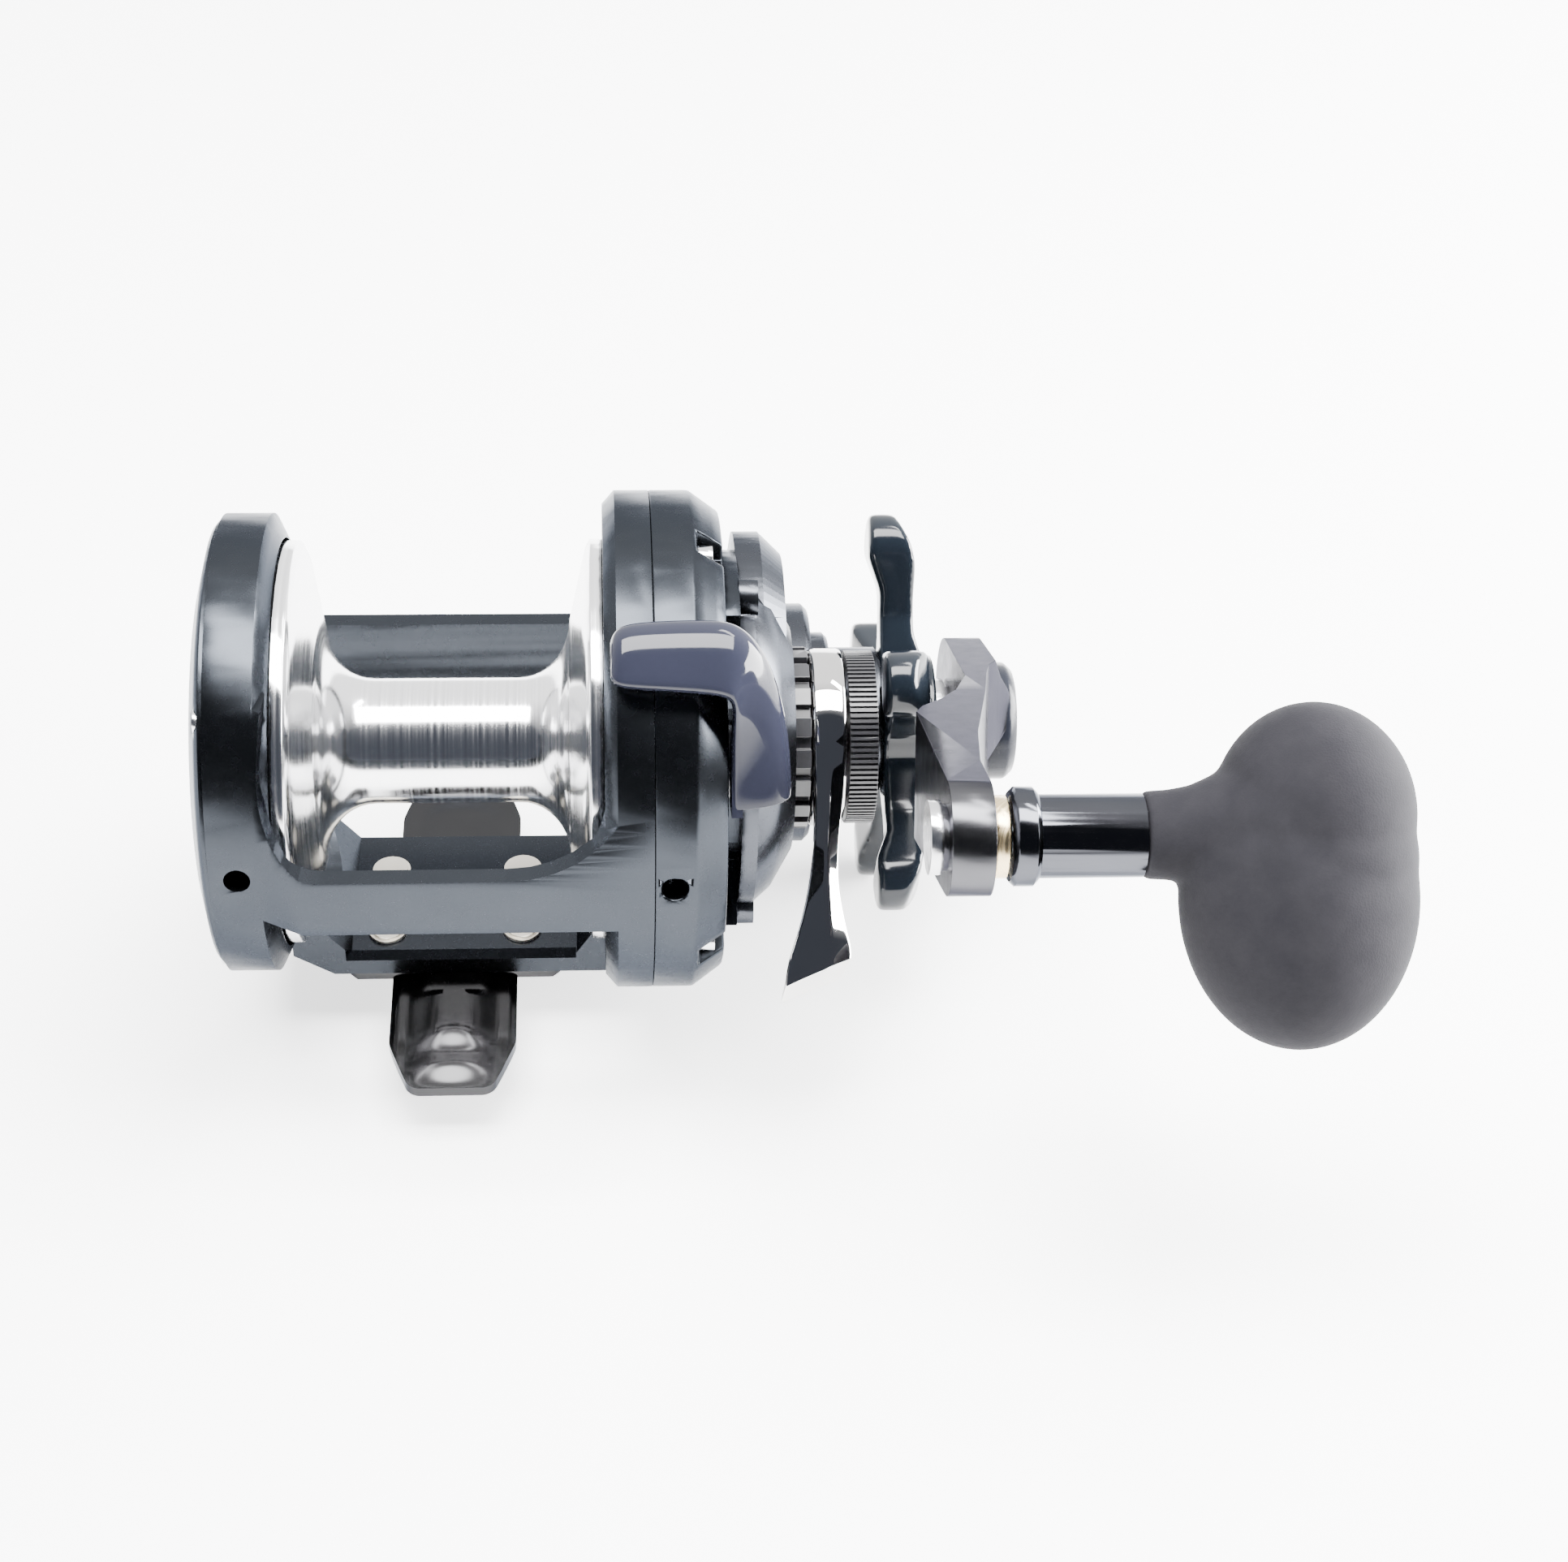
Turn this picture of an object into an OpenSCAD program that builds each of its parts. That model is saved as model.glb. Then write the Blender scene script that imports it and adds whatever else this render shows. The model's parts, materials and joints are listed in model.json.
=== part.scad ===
// Trolling reel: a right-hand star-drag reel with a one-piece frame and an offset crank.
// +X runs along the spool axis to the handle, +Y points ahead of the angler, +Z is up.
// The origin is the middle of the flat underside of the foot.

/* [Spool] */
// Height of the spool axis above the underside of the foot
axis_h = 36; // [35.8:0.1:36.4]
// Radius of the two spool flanges
flange_r = 27.1; // [26.6:0.1:27.1]
// Distance from the middle of the spool to the outer face of a flange
flange_x = 21.4; // [21:0.1:21.6]
// Radius of the bare arbor
arbor_r = 8.5; // [7:0.5:10]
// Radius of the spool shaft
shaft_r = 2; // [2:0.1:2.2]

/* [Frame] */
// Outer radius of the left ring
left_r = 30.8; // [30.5:0.1:31.2]
// Outer radius of the right ring and the side plate
right_r = 33.7; // [33.4:0.1:34]
// Inner radius of both rings
ring_bore = 27.5; // [27.4:0.1:27.7]
// Thickness of the near and far bars
bar_t = 2.5; // [2:0.1:3]
// Length of the foot, front to back
foot_l = 64; // [62:1:68]
// Width of a foot leg
leg_w = 17.4; // [16:0.2:19]

/* [Gears] */
// How far the handle axis lies ahead of the spool axis
gear_ahead = 19; // [18.8:0.1:19.2]
// How far the handle axis lies below the spool axis
gear_drop = 13; // [12.8:0.1:13.1]
// Teeth of the main gear
main_teeth = 54; // [54:2:58]
// Teeth of the pinion
pinion_teeth = 10; // [10:2:12]

/* [Controls] */
// Arms of the star drag
star_arms = 5; // [4:1:5]
// Radius of the star drag at its tips
star_r = 30; // [28:0.5:30]
// Turn of the handle at rest, from straight ahead and upward
handle_turn = 151.2; // [149:0.2:153]
// Distance from the handle axis to the knob axis
crank_r = 74.5; // [72:0.5:76]
// Ridges on the tension knob
knob_ridges = 96; // [72:6:108]
// Notches of the click ring
click_notches = 18; // [12:2:24]

/* [Hidden] */
$fn = 96;
gear_y = gear_ahead;
gear_z = axis_h - gear_drop;
knob_y = gear_y + crank_r * cos(handle_turn);
knob_z = gear_z + crank_r * sin(handle_turn);
// Planes along the spool axis, left to right
left_face = -28.9;
left_edge = -21.2;
right_edge = 21.1;
seam_x = 27.3;
plate_face = 36.7;
housing_x = 38.9;
boss_face = 46.3;
nose_end = 60.7;
hub_in = 70.6;
hub_out = 75.4;
arm_in = 61.6;
arm_out = 66.8;
cap_face = 80.3;
sleeve_end = 85.2;
// Clearances
run = 0.05;
// Bearings and small fits
bearing_r = 5;
thread_r = 3;
sleeve_r = 4.5;
spindle_r = 2.4;
tube_r = 5.4;
pinion_move = 1.5;
lever_press = 22;
// Angles about the spool axis, from straight ahead toward the top
gear_dir = atan2(-gear_drop, gear_ahead);
screw_turns = [90, 200, 340];
left_screw_turns = [45 : 90 : 315];
post_turns = [90, 270];
clicker_turn = -35;
// The long side of the grip, from straight ahead toward the top, at rest
grip_turn = 49.3;
// Radii of the screw and post circles about the spool axis
screw_circle = 30.2;
left_screw_circle = 28.4;
post_circle = 17.5;
housing_screw_circle = 24.4;
clicker_circle = 19.2;
// Tilt of the two radial oil holes from level
hole_tilt = 5;
oil_hole_r = 1.7;
left_hole_x = -25.4;
right_hole_x = 29.9;
// Gear sizes, from the distance between the two axes
axis_gap = norm([gear_ahead, gear_drop]);
module_mm = 2 * axis_gap / (main_teeth + pinion_teeth);
// Bottom plate and foot
plate_top = axis_h - 29.7;
plate_low = axis_h - 33.3;
plate_near = -11;
plate_far = 13.6;
rivet_x = 9.4;
rivet_y = 6.15;

// ---- shared shapes ----

// Local x, y and z become +Y, +Z and +X, so an angle turns from straight ahead toward the top.
module about(y, z) translate([0, y, z]) rotate([90, 0, 90]) children();
module about_spool() about(0, axis_h) children();
module about_gear() about(gear_y, gear_z) children();
module about_knob() about(knob_y, knob_z) children();
module disc(r, x1, x2) translate([0, 0, x1]) cylinder(r = r, h = x2 - x1);
module tube(r1, r2, x1, x2) difference() {
    disc(r2, x1, x2);
    disc(r1, x1 - 1, x2 + 1);
}
module slab(x1, x2) translate([0, 0, x1]) linear_extrude(x2 - x1) children();
module turned(points) rotate_extrude() polygon(points);
module at(r, turn) rotate(turn) translate([r, 0, 0]) children();

function arc(r, a1, a2, n) = [for (i = [0 : n]) r * [cos(a1 + (a2 - a1) * i / n), sin(a1 + (a2 - a1) * i / n)]];
module sector(r1, r2, a1, a2) polygon(concat(arc(r1, a1, a2, 24), arc(r2, a2, a1, 24)));

// Two round ends joined by their outer tangents; the sides lie a hair inside the round ends
module link(p1, r1, p2, r2) {
    s1 = r1 - 0.004;
    s2 = r2 - 0.004;
    way = atan2(p2[1] - p1[1], p2[0] - p1[0]);
    lean = acos((r1 - r2) / norm(p2 - p1));
    up = [cos(way + lean), sin(way + lean)];
    down = [cos(way - lean), sin(way - lean)];
    translate(p1) circle(r1);
    translate(p2) circle(r2);
    polygon([p1 + s1 * up, p1 + s1 * down, p2 + s2 * down, p2 + s2 * up]);
}

// A flat-topped gear outline with slim teeth; one tooth points along local +x
module gear_outline(teeth, pitch_r) {
    root = pitch_r - module_mm;
    tip = pitch_r + 0.7 * module_mm;
    half = 180 / teeth;
    polygon([for (i = [0 : teeth - 1], k = [[root, -0.62], [tip, -0.2], [tip, 0.2], [root, 0.62]])
        k[0] * [cos((2 * i + k[1]) * half), sin((2 * i + k[1]) * half)]]);
}

// A ring with square ridges around it
module ridged(r_in, r_low, r_high, count, fill) {
    step = 360 / count;
    difference() {
        polygon([for (i = [0 : count - 1], k = [[r_low, 0], [r_low, 1 - fill], [r_high, 1 - fill], [r_high, 1]])
            k[0] * [cos((i + k[1]) * step), sin((i + k[1]) * step)]]);
        circle(r_in);
    }
}

module cap_screw_at(head_r, shank_r, x_head, head_t, x_end) {
    disc(head_r, min(x_head, x_head + head_t), max(x_head, x_head + head_t));
    disc(shank_r, min(x_head, x_end), max(x_head, x_end));
}

// A hole drilled in from the angler's side toward the spool axis
module oil_hole(x) translate([x, 0, axis_h]) rotate([90 - hole_tilt, 0, 0]) cylinder(r = oil_hole_r, h = 40);

// ---- frame and covers ----

near_low = -4.3;
near_top = 4.5;

// One lower corner of the near cut-out, a quarter ellipse between the floor and a wall
function corner(cx, rx, rz, a1) = [for (a = [a1 : 9 : a1 + 90]) [cx + rx * cos(a), near_top + rz + rz * sin(a)]];
module near_outline(x1, x2, rx, rz)
    polygon(concat(corner(x1 + 8, 8, 12, 180), corner(x2 - rx, rx, rz, 270), [[x2, 40], [x1, 40]]));
module upright(y, t) translate([0, y + t / 2, axis_h]) rotate([90, 0, 0]) linear_extrude(t) children();

// The near bar keeps the curve of the rings and widens up the right ring
module near_bar() difference() {
    intersection() {
        about_spool() turned([[ring_bore + 1, left_edge - 3], [ring_bore + 1, left_edge - 0.5],
            [right_r - bar_t, left_edge + 2.5], [right_r - bar_t, right_edge - 1], [ring_bore + 1, right_edge + 0.5],
            [ring_bore + 1, seam_x - 1], [right_r, seam_x - 1], [right_r, -17.5], [left_r - 0.2, left_edge - 2]]);
        translate([-30, -40, axis_h + near_low]) cube([60, 40, 27]);
    }
    hull() {
        upright(-17, 0.1) near_outline(left_edge, right_edge - 1.7, 9, 12);
        upright(-36, 0.1) near_outline(left_edge - 2, right_edge + 9, 22, 26);
    }
}

module far_bar() intersection() {
    about_spool() difference() {
        disc(31.4, left_edge - 1, right_edge + 1);
        disc(31.4 - bar_t, left_edge - 2, right_edge + 2);
    }
    translate([-30, 20, axis_h - 12.3]) cube([60, 20, 9.9]);
}

// Side view of the bottom plate: a flat middle with ramps up to the two rings
module plate_outline() polygon([[left_edge - 1, plate_low + 3.6], [left_edge + 4.5, plate_low], [17.5, plate_low],
    [right_edge + 1, plate_low], [right_edge + 1, plate_top + 6], [right_edge - 1, plate_top + 5],
    [right_edge - 4, plate_top], [left_edge + 7, plate_top], [left_edge + 3, plate_top + 5],
    [left_edge - 1, plate_top + 6]]);
module bottom_plate() difference() {
    translate([0, plate_far, 0]) rotate([90, 0, 0]) linear_extrude(plate_far - plate_near) plate_outline();
    translate([-15, plate_near - 3.2, plate_top]) rotate([45, 0, 0]) translate([0, 0, -3]) cube([32, 3, 6]);
}

module frame() color("#4d5862") difference() {
    union() {
        about_spool() {
            turned([[ring_bore, left_face], [left_r, left_face], [left_r, left_edge - 1.5],
                [ring_bore + 0.2, left_edge], [ring_bore, left_edge]]);
            turned([[ring_bore, seam_x], [right_r, seam_x], [right_r, right_edge + 1.6],
                [right_r - 1.8, right_edge], [ring_bore, right_edge]]);
        }
        near_bar();
        far_bar();
        difference() {
            bottom_plate();
            about_spool() disc(ring_bore, -40, 40);
        }
    }
    about_spool() {
        for (turn = screw_turns) at(screw_circle, turn) disc(1.1, 22.6, 28);
        for (turn = left_screw_turns) at(left_screw_circle, turn) disc(0.75, -30, -24);
    }
    oil_hole(left_hole_x);
    for (x = [-rivet_x, rivet_x], y = [-rivet_y, rivet_y]) translate([x, y, -1]) cylinder(r = 1.6, h = 20);
    // clears the bore of the left ring around the cover's spigot
    about_spool() disc(ring_bore, -30, -26);
}

module left_side_plate() color("#4d5862") difference() {
    about_spool() turned([[0, -33], [14, -32.6], [24, -31.4], [29.4, -30], [30, -29.5], [30, left_face],
        [ring_bore - 0.15, left_face], [ring_bore - 0.15, -23.2], [25.8, -23.2], [25.8, -29.3], [7.2, -29.3],
        [7.2, -25.9], [bearing_r, -25.9], [bearing_r, -28.4], [2.6, -28.4], [2.6, -29.6], [0, -29.6]]);
    about_spool() {
        for (turn = left_screw_turns) at(left_screw_circle, turn) {
            disc(0.75, -40, -20);
            disc(1.5, -40, -29.6);
        }
        rotate(clicker_turn) slab(-35, -29) link([14.6, 0], 1.8, [19.4, 0], 1.8);
    }
    oil_hole(left_hole_x);
}

module left_plate_screws() color("silver") about_spool()
    for (turn = left_screw_turns) at(left_screw_circle, turn) cap_screw_at(1.5, 0.75, -29.6, -0.6, -24);

module bearing(x1, x2) {
    tube(4, bearing_r, x1, x2);
    tube(shaft_r + run, 2.8, x1, x2);
    for (i = [0 : 7]) at(3.4, i * 45) translate([0, 0, (x1 + x2) / 2]) sphere(r = 0.56);
}
module left_bearing() color("silver") about_spool() bearing(-28.4, -25.9);
module right_bearing() color("silver") about_spool() bearing(24.2, 26.7);

module right_side_plate() color("#4d5862") difference() {
    about_spool() turned([[2.6, 23.2], [ring_bore - 0.15, 23.2], [ring_bore - 0.15, seam_x], [right_r, seam_x],
        [right_r, 32.7], [right_r - 2.9, plate_face], [23, plate_face], [23, 34.9], [26, 34.9], [26, 25.2],
        [8, 25.2], [8, 28.2], [bearing_r, 28.2], [bearing_r, 24.2], [2.6, 24.2]]);
    about_spool() for (turn = screw_turns) at(screw_circle, turn) {
        disc(1.1, 20, 40);
        translate([-1.8, -2.2, 33.2]) cube([8, 4.4, 8]);
    }
    oil_hole(right_hole_x);
    about_spool() for (a = post_turns) at(post_circle, a) disc(0.8, 20, 26);
    about_spool() for (a = housing_screw_turns) at(housing_screw_circle, a) disc(0.9, 30, 40);
}

module side_plate_screws() color("silver") about_spool()
    for (turn = screw_turns) at(screw_circle, turn) cap_screw_at(1.7, 1.1, 33.2, 2.1, 22.6);

// ---- gear case ----

slot_from = 102;
slot_to = 222;
housing_screw_turns = [58, 88, 238];
module case_outline(grow) {
    translate([gear_ahead, -gear_drop]) circle(22.3 + grow);
    link([gear_ahead, -gear_drop], 22.3 + grow, [10, 4], 19 + grow);
}

module gear_plate() color("#4d5862") difference() {
    about_spool() slab(plate_face, housing_x) difference() {
        union() {
            circle(25.6);
            translate([gear_ahead, -gear_drop]) circle(21.3);
        }
        sector(16.7, 30, slot_from, slot_to);
        circle(5);
    }
    // pockets that take the yoke springs as the yoke moves over
    about_spool() for (a = post_turns) at(post_circle, a) disc(2, 36, plate_face + pinion_move + 0.1);
    about_gear() disc(sleeve_r, 30, 40);
    about_spool() for (a = housing_screw_turns) at(housing_screw_circle, a) disc(0.9, 30, 40);
}

module gear_housing() color("#8f959c") difference() {
    union() {
        about_spool() turned([[0, housing_x], [22.5, housing_x], [22.5, 41], [20.4, 43.4], [15.4, boss_face],
            [0, boss_face]]);
        about_spool() slab(housing_x, 42.4) case_outline(0);
        // the lobe's bevelled end
        about_spool() hull() {
            slab(42.3, 42.4) case_outline(0);
            slab(45.4, 45.5) case_outline(-3);
        }
        about_gear() turned([[0, 45], [18, 45], [17.2, 46.5], [17.2, 49.6], [16.4, 50.4], [13, 50.4], [13, 52.7],
            [12.4, 53.3], [10.8, 53.3], [10.8, 60.2], [10.3, nose_end], [0, nose_end]]);
        about_spool() for (a = housing_screw_turns) at(23.2, a) disc(2.6, housing_x, 41.4);
    }
    // room for the click ring and the controls beside the nose
    about_spool() disc(14.5, boss_face, 53.6);
    // gear room, pinion room and the bores of the nose
    about_gear() disc(20.9, 38, 44.5);
    about_spool() {
        disc(5, 38, 44.5);
        disc(tube_r, 44.5, 50);
    }
    about_gear() disc(8, 44, 70);
    about_spool() for (a = housing_screw_turns) at(housing_screw_circle, a) disc(0.9, 30, 40.8);
}

module housing_screws() color("silver") about_spool()
    for (a = housing_screw_turns) at(housing_screw_circle, a) cap_screw_at(1.5, 0.9, 34.9, -0.9, 40.8);

module shaft_bush() color("tan") about_gear() tube(thread_r + run, sleeve_r, plate_face, housing_x);

module one_way_clutch() color("silver") about_gear() {
    tube(7, 8, 48, 57.4);
    tube(sleeve_r + run, 4.9, 48, 57.4);
    for (i = [0 : 9]) at(5.95, i * 36) disc(1, 48.4, 57);
}

module drive_bearing() color("silver") about_gear() {
    tube(7, 8, 57.4, 59.4);
    tube(sleeve_r + run, 5.5, 57.4, 59.4);
    for (i = [0 : 8]) at(6.25, i * 40) translate([0, 0, 58.4]) sphere(r = 0.7);
}

module tension_tube() color("#2b2d31") about_spool() {
    tube(3.4, tube_r, 44.5, 56.4);
    tube(tube_r, 7.4, boss_face, 47);
}

module end_bush() color("tan") about_spool() tube(shaft_r + run, 3.4, 44.6, 48);

module click_ring() color("#1c1d20") about_spool() difference() {
    slab(boss_face, 48.6) ridged(tube_r, 11.4, 12.4, click_notches, 0.6);
    disc(7.4, 46, 47);
}

module yoke_posts() color("silver") about_spool() for (a = post_turns) at(post_circle, a) disc(0.8, 23.6, plate_face);

// A coil spring as one tube swept along a helix
function wind(r, wire, pitch, turns, x0) = [for (i = [0 : 14 * turns], k = [0 : 5])
    let (a = i * 360 / 14, w = r + wire * cos(k * 60))
        [w * cos(a), w * sin(a), x0 + pitch * a / 360 + wire * sin(k * 60)]];
module coil(r, wire, pitch, turns, x0) {
    last = 14 * turns;
    polyhedron(wind(r, wire, pitch, turns, x0), concat([[0, 1, 2, 3, 4, 5]], [[for (k = [5 : -1 : 0]) 6 * last + k]],
        [for (i = [0 : last - 1], k = [0 : 5])
            [6 * i + k, 6 * i + 6 + k, 6 * i + 6 + (k + 1) % 6, 6 * i + (k + 1) % 6]]));
}
module yoke_springs() color("silver") about_spool()
    for (a = post_turns) at(post_circle, a) coil(1.4, 0.25, 0.8, 4, 33.3);

// ---- foot ----

module foot_plan() polygon([[-leg_w / 2, -23.5], [-6.6, -foot_l / 2 + 0.8], [-5.4, -foot_l / 2], [5.4, -foot_l / 2],
    [6.6, -foot_l / 2 + 0.8], [leg_w / 2, -23.5], [leg_w / 2, 23.5], [6.6, foot_l / 2 - 0.8], [5.4, foot_l / 2],
    [-5.4, foot_l / 2], [-6.6, foot_l / 2 - 0.8], [-leg_w / 2, 23.5]]);
module foot() color("silver") difference() {
    union() {
        linear_extrude(1.9) foot_plan();
        translate([-14.75, -10.4, 1]) cube([29.5, 20.8, plate_low - 1]);
        translate([-leg_w / 2, -15, 0]) cube([leg_w, 30, plate_low]);
        // a raised rib along the top of each leg
        intersection() {
            linear_extrude(8) foot_plan();
            translate([0, foot_l / 2, -1.6]) rotate([90, 0, 0]) cylinder(r = 5.1, h = foot_l);
            translate([-10, -foot_l / 2, 0]) cube([20, foot_l, plate_low + 0.5]);
        }
    }
    for (x = [-rivet_x, rivet_x], y = [-rivet_y, rivet_y]) translate([x, y, -1]) cylinder(r = 1.6, h = 20);
    translate([-20, plate_near + 0.001, plate_low]) cube([40, plate_far - plate_near, 4]);
    translate([0, 0, -5]) cube([100, 100, 10], center = true);
}

module foot_rivets() color("#b7b0a2") for (x = [-rivet_x, rivet_x], y = [-rivet_y, rivet_y]) translate([x, y, 0]) {
    translate([0, 0, 0.2]) cylinder(r = 1.6, h = plate_top - 0.2);
    translate([0, 0, plate_top]) cylinder(r = 2.7, h = 0.5);
    translate([0, 0, plate_top + 0.5]) cylinder(r = 2.3, h = 0.35);
}

// ---- spool ----

// The fillet between the arbor and the step on a flange's inner face
function fillet_side(side) = [for (t = [0 : 9 : 90]) [16.3 - (16.3 - arbor_r) * cos(t), side * (9.7 + 6.9 * sin(t))]];
function reversed(v) = [for (i = [len(v) - 1 : -1 : 0]) v[i]];
module spool() color("#d8dadd") about_spool() turned(concat([[shaft_r, 22.6], [4.5, 22.6], [4.5, 15],
    [9, 15.6], [16, 18], [24.9, 20.2], [25.5, flange_x], [flange_r - 0.3, flange_x], [flange_r, flange_x - 0.3],
    [flange_r, 19.4],
    [25.9, 18.8], [16.6, 16.7]], reversed(fillet_side(1)), fillet_side(-1), [[16.6, -16.7], [25.9, -18.8],
    [flange_r, -19.4], [flange_r, 0.3 - flange_x], [flange_r - 0.3, -flange_x], [25.5, -flange_x], [24.9, -20.2],
    [16, -18], [9, -15.6], [4.5, -15], [4.5, -23.4], [shaft_r, -23.4]]));

module spool_shaft() color("silver") about_spool() difference() {
    disc(shaft_r, -29.2, 47.4);
    translate([-4, -0.6, 30.3]) cube([8, 1.2, 1.2]);
}
module shaft_pin() color("silver") about_spool() translate([-3.6, -0.6, 30.3]) cube([7.2, 1.2, 1.2]);

module clicker_ratchet() color("#c9a45c") about_spool() slab(-25.2, -23.4) ridged(shaft_r, 7.6, 8.6, 24, 0.5);

module clicker_button() color("#1c1d20") about_spool() rotate(clicker_turn) {
    translate([clicker_circle, 0, 0]) {
        disc(1.5, -33.6, -25.9);
        disc(3.2, -35.2, -33.2);
    }
}
module clicker_pawl() color("silver") about_spool() rotate(clicker_turn) slab(-25.9, -24)
    polygon([[12.9, -0.5], [17, -2], [21, -2], [21, 2], [17, 2], [12.9, 0.5]]);

// ---- free-spool clutch ----

pinion_pitch = axis_gap * pinion_teeth / (main_teeth + pinion_teeth);
main_pitch = axis_gap - pinion_pitch;
module pinion_gear() color("#c9a45c") about_spool() difference() {
    union() {
        disc(5, 30.2, 31.8);
        disc(2.9, 31.8, 39.2);
        disc(3.9, 33.1, 34.3);
        rotate(gear_dir + 180 / pinion_teeth) slab(39, 43) gear_outline(pinion_teeth, pinion_pitch);
    }
    disc(shaft_r + run, 29, 50);
    translate([-5.5, -0.75, 29]) cube([11, 1.5, 2.6]);
}

module clutch_yoke() color("silver") about_spool() difference() {
    slab(32.1, 33) difference() {
        union() {
            square([8, 41], center = true);
            square([12, 12], center = true);
        }
        link([0, 0], 3.1, [-9, 0], 3.12);
    }
    for (a = post_turns) at(post_circle, a) disc(0.8 + run, 30, 36);
}

// The cam ring turns with the thumb lever; its two wedges push the yoke to the right
module wedge(turn) rotate(turn) for (i = [0 : 5])
    slab(30.9, 31 + (i + 0.5) / 6 * pinion_move * 0.8)
        sector(12, 15, -lever_press * (i + 1) / 6, -lever_press * i / 6);
module clutch_cam() color("silver") about_spool() {
    tube(8.4, 15.4, 29.8, 31);
    wedge(90 - 17);
    wedge(270 - 17);
    slab(29.8, 31) sector(15.2, 18.6, 135, 165);
    slab(31, 37) sector(17, 18.6, 135, 165);
}

// A thumb pad over the rim, an arm down the side of the boss and a curved plate in the slot
module clutch_lever() color("#101114") about_spool() {
    slab(37, 38.6) sector(17, 22.4, 125, 186);
    slab(37, 38.6) sector(22, 31, 136, 160);
    hull() {
        at(25.2, 159) translate([0, 0, 41.2]) sphere(r = 2.2, $fn = 24);
        at(29, 157) translate([0, 0, 40.2]) sphere(r = 2.4, $fn = 24);
        at(27, 140) translate([0, 0, 42]) sphere(r = 2.6, $fn = 24);
        at(32.2, 140) translate([0, 0, 40.4]) sphere(r = 2.6, $fn = 24);
        at(29.5, 122) translate([0, 0, 40.6]) sphere(r = 2.6, $fn = 24);
        at(35.9, 126) translate([0, 0, 39.6]) sphere(r = 2.4, $fn = 24);
    }
    hull() {
        at(36.8, 131) translate([0, 0, 39.8]) sphere(r = 2.2, $fn = 24);
        at(36.6, 121.5) translate([0, 0, 39.6]) sphere(r = 2.2, $fn = 24);
        at(36.9, 131) translate([0, 0, 25]) sphere(r = 2, $fn = 24);
        at(37.2, 121.5) translate([0, 0, 25.5]) sphere(r = 2, $fn = 24);
        at(36.6, 126) translate([0, 0, 23.5]) sphere(r = 1.8, $fn = 24);
    }
}

// ---- drive train ----

module drive_shaft() color("silver") about_gear() difference() {
    union() {
        disc(thread_r, 37, 78.5);
        disc(5.4, 39.1, 39.7);
    }
    disc(cap_screw_r, 76, 80);
}

module main_gear() color("#c9a45c") about_gear() difference() {
    rotate(gear_dir + 180) slab(39.7, 42.7) gear_outline(main_teeth, main_pitch);
    disc(thread_r, 39, 43);
    disc(14.5, 40.7, 43);
}

module washer_stack(first) for (i = [first : 2 : 4]) tube(thread_r, 14, 40.7 + i * 0.4, 41.1 + i * 0.4);
module metal_drag_washers() color("silver") about_gear() washer_stack(1);
module carbon_drag_washers() color("#26272a") about_gear() washer_stack(0);
module pressure_plate() color("silver") about_gear() tube(thread_r, 14, 42.7, 43.4);
module clutch_sleeve() color("silver") about_gear() tube(thread_r, sleeve_r, 43.4, 59.5);
module spring_washers() color("silver") about_gear()
    for (i = [0, 1]) tube(thread_r, 6.4, 59.5 + i * 0.55, 60 + i * 0.55);
module handle_spacers() color("silver") about_gear() {
    tube(thread_r, 6.2, 68.7, 70.2);
    tube(thread_r, 5.2, 70.2, hub_in);
}

// Side view of the crank arm, distance from the handle axis against position along it
module arm_side() polygon([[-12, hub_in], [22, hub_in], [30, 68.4], [35, 65.7], [39, 62.7], [42, arm_in],
    [90, arm_in], [90, arm_out], [66, arm_out], [52, 68.4], [40, 70.6], [30, 72.4], [20, 73.9],
    [13, hub_out], [-12, hub_out]]);
module arm_plan() slab(60, 82) link([-0.6, -1.8], 10.2, [crank_r, 0], 7.1);
// A rounded ridge on the arm's outer face shields the upper half of the nut cover and runs out along the arm
module ridge_side() polygon([[-12, hub_in + 1], [-12, hub_out], [-9, 77.5], [-3, 79.6], [3, 80], [7.5, 79],
    [12, 76.8], [17, 74.2], [24, 72.4], [16, hub_in + 1]]);
module ridge_end() polygon([[-13, hub_in + 1], [-13, hub_out], [-8.4, 77.1], [-6.1, 78.6], [-3.7, 79.7], [-1.4, 80],
    [2.6, hub_out - 0.4], [2.6, hub_in + 1]]);
module handle_arm() color("#5a5d63") about_gear() rotate(handle_turn) difference() {
    union() {
        intersection() {
            arm_plan();
            translate([0, 20, 0]) rotate([90, 0, 0]) linear_extrude(40) arm_side();
        }
        intersection() {
            arm_plan();
            translate([0, 20, 0]) rotate([90, 0, 0]) linear_extrude(40) ridge_side();
            translate([-13, 0, 0]) rotate([90, 0, 90]) linear_extrude(46) ridge_end();
        }
    }
    disc(thread_r, 60, 90);
    at(crank_r, 0) disc(spindle_r, 60, 90);
    disc(cap_r + run, hub_out, 90);
}

module handle_nut() color("silver") about_gear() difference() {
    translate([0, 0, hub_out]) cylinder(r = 5.8, h = 2.8, $fn = 6);
    disc(thread_r, 70, 80);
}
// A cover over the nut, held by one small screw in the end of the shaft
cap_r = 8.5;
cap_screw_r = 0.9;
module nut_cap() color("#20242e") about_gear()
    turned([[6.2, hub_out], [cap_r, hub_out], [cap_r, 79.1], [cap_r - 1.1, cap_face], [cap_screw_r, cap_face],
        [cap_screw_r, 78.9], [6.2, 78.9]]);
module cap_screw() color("silver") about_gear() cap_screw_at(1.4, cap_screw_r, cap_face, 0.8, 76);

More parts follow.
